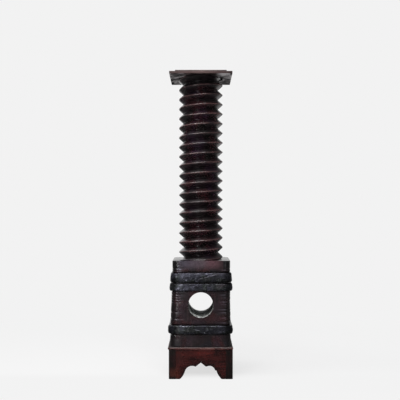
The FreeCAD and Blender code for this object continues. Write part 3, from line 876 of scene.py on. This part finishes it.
def strap_skin(node_name, seed, thick_low, thick_high, foot_rise, lap=None):
    low_corner, high_corner = cad_box_of(node_name)
    low = low_corner[2]
    width = high_corner[2] - low
    # section of the band from its upper inner edge round the outside to its lower inner edge
    section = [(1.0, 0.0), (1.0, 0.45), (0.985, 0.75), (0.95, 0.93), (0.905, 0.99)]
    section += [(share, 1.0) for share in np.linspace(0.86, 0.14, 20).tolist()]
    section += [(0.08, 0.97), (0.02, 0.8), (0.0, 0.5), (0.0, 0.0)]
    loops = []
    for x, y, nx, ny, _, along in block_outline(low + width / 2, strap_gap, 100, 18):
        bulge = corner_bulge * math.exp(-(along / 30) ** 2)
        # the forged edges wave, and the face is lumpy, in lengths of about 40 and 14 mm
        top_wave = 1.5 * smooth_noise(x / 45, y / 45, seed)
        top_wave += 0.7 * smooth_noise(x / 15, y / 15, seed)
        foot_wave = 1.5 * smooth_noise(x / 38, y / 38, seed + 5)
        foot_wave += 0.6 * smooth_noise(x / 13, y / 13, seed + 5)
        loop = []
        for share, out in section:
            height = low + width * share
            height += (top_wave - 1) * max(0.0, share - 0.5) * 2
            height += (foot_wave + foot_rise) * max(0.0, 0.5 - share) * 2
            lean = (height - low - width / 2) / block_height
            inward = lean * (block_foot_half[1] - block_top_half[1])
            lump = 2.4 * smooth_noise(x / 34, y / 34, height / 24 + seed)
            lump += 0.6 * smooth_noise(x / 14, y / 14, height / 12 + seed)
            proud = thick_low + (thick_high - thick_low) * share
            proud += (lump - 0.6) * (0.2 + 0.8 * min(1.0, min(share, 1 - share) * 3))
            proud += bulge - face_crown * abs(2 * share - 1) ** 2.5
            if lap and ny < -0.7:
                proud += lap_height(x, share, *lap)
            reach = out * proud - inward
            loop.append((x + nx * reach, y + ny * reach, height))
        loops.append(loop)
    return mesh_from_loops("strap", loops, closed=True)


iron = forged_iron()
# each strap: seed of its lumps, thickness at its lower and upper edge, rise of its lower edge
for name, *shape in (("upper", 1.7, 10.2, 7.2, 1.0, upper_lap), ("middle", 5.1, 10.6, 10.4, -2.0),
                     ("lower", 9.3, 10.8, 10.8, 1.0, lower_lap)):
    finish_piece("strap_band_" + name, strap_skin("strap_" + name, *shape), iron,
                 "strap_" + name, sharp=60)

# The top: two square boards of dark wood, the smaller on the larger, planed flat with sharp
# edges. The larger one is screwed down onto the end grain of the thread.


# Dark stained wood with a thin polish: pinkish brown on the edges, worn and painted lighter as lit
# in their middle, greyer and dull on the underside, where the stain was wiped on and has dried
# in blotches, with painted shade under the screw
def stained_top():
    material, tree = new_material("dark_stained_top")
    coordinates = add(tree, "TexCoord")
    place = coordinates.outputs["Object"]
    x = add(tree, "SeparateXYZ", (place,)).outputs["X"]
    board = add(tree, "Mapping", {"Vector": place, "Scale": (0.07, 1.0, 1.0)})
    # figure: streaks about 8 mm apart across the grain
    figure = add(tree, "TexNoise", {
        "Vector": board, "Scale": 120.0, "Detail": 5.0, "Roughness": 0.6, "Distortion": 0.4})
    wood = add(tree, "ValToRGB", {"Fac": figure}, stops=(
        (0.3, "#483433"), (0.5, "#5f4d4c"), (0.7, "#786664")))
    # the front and back edges are worn, and painted lighter as lit, in their middle and right of
    # it, and darker towards both ends
    across = add(tree, "MapRange", (x, -150 * MM, 150 * MM))
    painted_light_across = add(tree, "ValToRGB", {"Fac": across}, stops=(
        (0.0, "#b4aead"), (0.5, "#fffcfa"), (0.78, "#dcd8d8"), (1.0, "#97908f")))
    edged = add(tree, "Mix", {0: 1.0, 6: wood, 7: painted_light_across}, data_type="RGBA",
                blend_type="MULTIPLY")
    # underneath, blotches of stain 40 mm across the front and longer towards the back
    wiped = add(tree, "Mapping", {
        "Vector": place, "Scale": (0.6, 0.25, 1.0), "Location": (0.2, 0.0, 0.0)})
    blotches = add(tree, "TexNoise", {
        "Vector": wiped, "Scale": 42.0, "Detail": 4.0, "Roughness": 0.6, "Distortion": 0.5})
    stain = add(tree, "ValToRGB", {"Fac": blotches}, stops=(
        (0.38, "#131112"), (0.48, "#423e3f"), (0.6, "#969293")))
    # painted shade under the screw: the underside is darkened within 80 mm of the middle
    off_middle = add(tree, "Math", (x,), operation="ABSOLUTE")
    painted_shade = add(tree, "MapRange", (off_middle, 68 * MM, 92 * MM, 0.92, 0.0))
    under = add(tree, "Mix", {0: painted_shade, 6: stain, 7: "#1c0909"}, data_type="RGBA")
    facing = add(tree, "SeparateXYZ", (coordinates.outputs["Normal"],))
    down = add(tree, "MapRange", (facing.outputs["Z"], -0.2, -0.8))
    colour = add(tree, "Mix", {0: down, 6: edged, 7: under}, data_type="RGBA")
    blotched = add(tree, "MapRange", (blotches, 0.35, 0.65, 0.75, 0.38))
    rough = add(tree, "MapRange", (down, 0.0, 1.0, 0.36, blotched))
    bump = add(tree, "Bump", {"Height": figure, "Strength": 0.3, "Distance": 0.5 * MM})
    shader = add(tree, "BsdfPrincipled", {
        "Base Color": colour, "Roughness": rough, "IOR": 1.45, "Normal": bump})
    add(tree, "OutputMaterial", {"Surface": shader})
    return material


top_wood = stained_top()
dress("top_plate", top_wood, soften=0.5)
dress("top_board", top_wood, soften=0.8)

# The fasteners: zinc-plated lag screws with washers under the deck, and countersunk steel wood
# screws everywhere else. All of them are hidden from the front.


# Zinc-plated steel: light grey metal, finely brushed by turning, with a soft dull shine
def zinc_plated_steel():
    material, tree = new_material("zinc_plated_steel")
    place = add(tree, "TexCoord").outputs["Object"]
    # plating spangle 2 mm across
    spangle = add(tree, "TexNoise", {"Vector": place, "Scale": 500.0})
    colour = add(tree, "ValToRGB", {"Fac": spangle}, stops=((0.35, "#8f9296"), (0.65, "#c2c3c4")))
    rough = add(tree, "MapRange", (spangle, 0.0, 1.0, 0.28, 0.46))
    shader = add(tree, "BsdfPrincipled", {
        "Base Color": colour, "Metallic": 1.0, "Roughness": rough})
    add(tree, "OutputMaterial", {"Surface": shader})
    return material


steel = zinc_plated_steel()
for name in ("lag_screws", "lag_washers", "deck_screws", "cleat_screws", "plate_screws",
             "board_screws"):
    dress(name, steel)

# The studio: a pale floor that runs into a pale backdrop, a large soft light overhead, and
# weaker ones from the front. The backdrop shows in the wax and in the iron.
backdrop_colour = "#f2f2f2"
floor_reach = 9.0
floor_level = -0.2 * MM
screen_direction = (-0.35, 0.85, 0.4)
camera_distance = 3.33
camera_height = 0.771


def pale_floor():
    material, tree = new_material("pale_floor")
    path = add(tree, "LightPath").outputs
    place = add(tree, "TexCoord").outputs["Object"]
    x, y, _ = add(tree, "SeparateXYZ", (place,)).outputs
    shadowed = add(tree, "BsdfDiffuse", {"Color": "#f4f4f4"})
    # the floor is only shaded near the object, and further off it is the plain backdrop
    off = add(tree, "VectorMath", (place,), operation="LENGTH")
    near = add(tree, "MapRange", (y, -0.12, -0.02, 0.97, 0.77))
    far = add(tree, "MapRange", (off, 0.3, 2.0, near), interpolation_type="SMOOTHSTEP")
    clear = add(tree, "Math", (path["Is Camera Ray"], far), operation="MULTIPLY")
    mirrored = add(tree, "Math", (path["Is Glossy Ray"], path["Is Transmission Ray"]),
                   operation="MAXIMUM")
    share = add(tree, "Math", (clear, mirrored), operation="MAXIMUM")
    # in gloss it is the dim floor of a room, pale only far off on the right
    deep = add(tree, "MapRange", (y, 1.0, 2.2, 0.0, 0.45))
    right = add(tree, "MapRange", (x, -0.2, 0.5))
    pale = add(tree, "Math", (deep, right, 0.1), operation="MULTIPLY_ADD")
    level = add(tree, "Math", (pale, path["Is Camera Ray"]), operation="MAXIMUM")
    backdrop = add(tree, "Emission", {"Color": backdrop_colour, "Strength": level})
    mixed = add(tree, "MixShader", (share, shadowed, backdrop))
    add(tree, "OutputMaterial", {"Surface": mixed})
    return material


floor_corners = [(x * floor_reach, y * floor_reach, floor_level)
                 for x, y in ((-1, -1), (1, -1), (1, 1), (-1, 1))]
floor_mesh = bpy.data.meshes.new("floor")
floor_mesh.from_pydata(floor_corners, [], [(0, 1, 2, 3)])
floor_mesh.materials.append(pale_floor())
floor = put_in_scene("floor", floor_mesh)


def studio_world():
    world = bpy.data.worlds.new("studio")
    world.use_nodes = True
    tree = world.node_tree
    tree.nodes.clear()
    path = add(tree, "LightPath").outputs
    view = add(tree, "TexCoord").outputs["Generated"]
    # for gloss, a pale screen stands behind the object, on its left, in a dim room
    toward = add(tree, "VectorMath", (view, screen_direction), operation="DOT_PRODUCT")
    screen = add(tree, "MapRange", (toward, 0.76, 0.9, 0.13, 1.15),
                 interpolation_type="SMOOTHSTEP")
    room = add(tree, "Mix", {0: screen, 6: "#000000", 7: backdrop_colour}, data_type="RGBA")
    gloss = add(tree, "Background", {"Color": room})
    fill = add(tree, "Background", {"Color": "#f4f4f6", "Strength": 0.36})
    backdrop = add(tree, "Background", {"Color": backdrop_colour})
    mirrored = add(tree, "Math", (path["Is Glossy Ray"], path["Is Transmission Ray"]),
                   operation="MAXIMUM")
    unseen = add(tree, "MixShader", (mirrored, fill, gloss))
    seen = add(tree, "MixShader", (path["Is Camera Ray"], unseen, backdrop))
    add(tree, "OutputWorld", {"Surface": seen})
    return world


bpy.context.scene.world = studio_world()

# lamps as (name, place, target, width, height, watts)
for name, place, target, width, height, watts in (
        ("overhead", (-1.3, -2.1, 6.4), (-0.1, 0.0, 0.8), 7.6, 1.5, 435.0),
        ("window", (-1.35, -2.6, 2.3), (0.0, 0.0, 0.5), 0.6, 0.8, 18.0),
        ("low_left", (-0.8, -2.8, 0.3), (0.0, 0.0, 0.4), 0.3, 0.2, 3.5),
        ("low_right", (1.1, -2.8, 0.3), (0.0, 0.0, 0.4), 0.3, 0.2, 0.8)):
    data = bpy.data.lights.new(name, "AREA")
    data.shape = "RECTANGLE"
    data.size = width
    data.size_y = height
    data.energy = watts
    lamp = put_in_scene(name, data)
    lamp.location = place
    lamp.rotation_euler = (Vector(target) - Vector(place)).to_track_quat("-Z", "Y").to_euler()

# The camera stands level in front of the object and is shifted up, as the photograph's was
data = bpy.data.cameras.new("camera")
data.sensor_width = 36.0
data.lens = 62.1
data.shift_x = -0.002
data.shift_y = 0.03
data.clip_end = 60.0
camera = put_in_scene("camera", data)
camera.location = (0.0, -camera_distance, camera_height)
camera.rotation_euler = (math.radians(90), 0.0, 0.0)
bpy.context.scene.camera = camera
bpy.context.scene.view_settings.view_transform = "Standard"
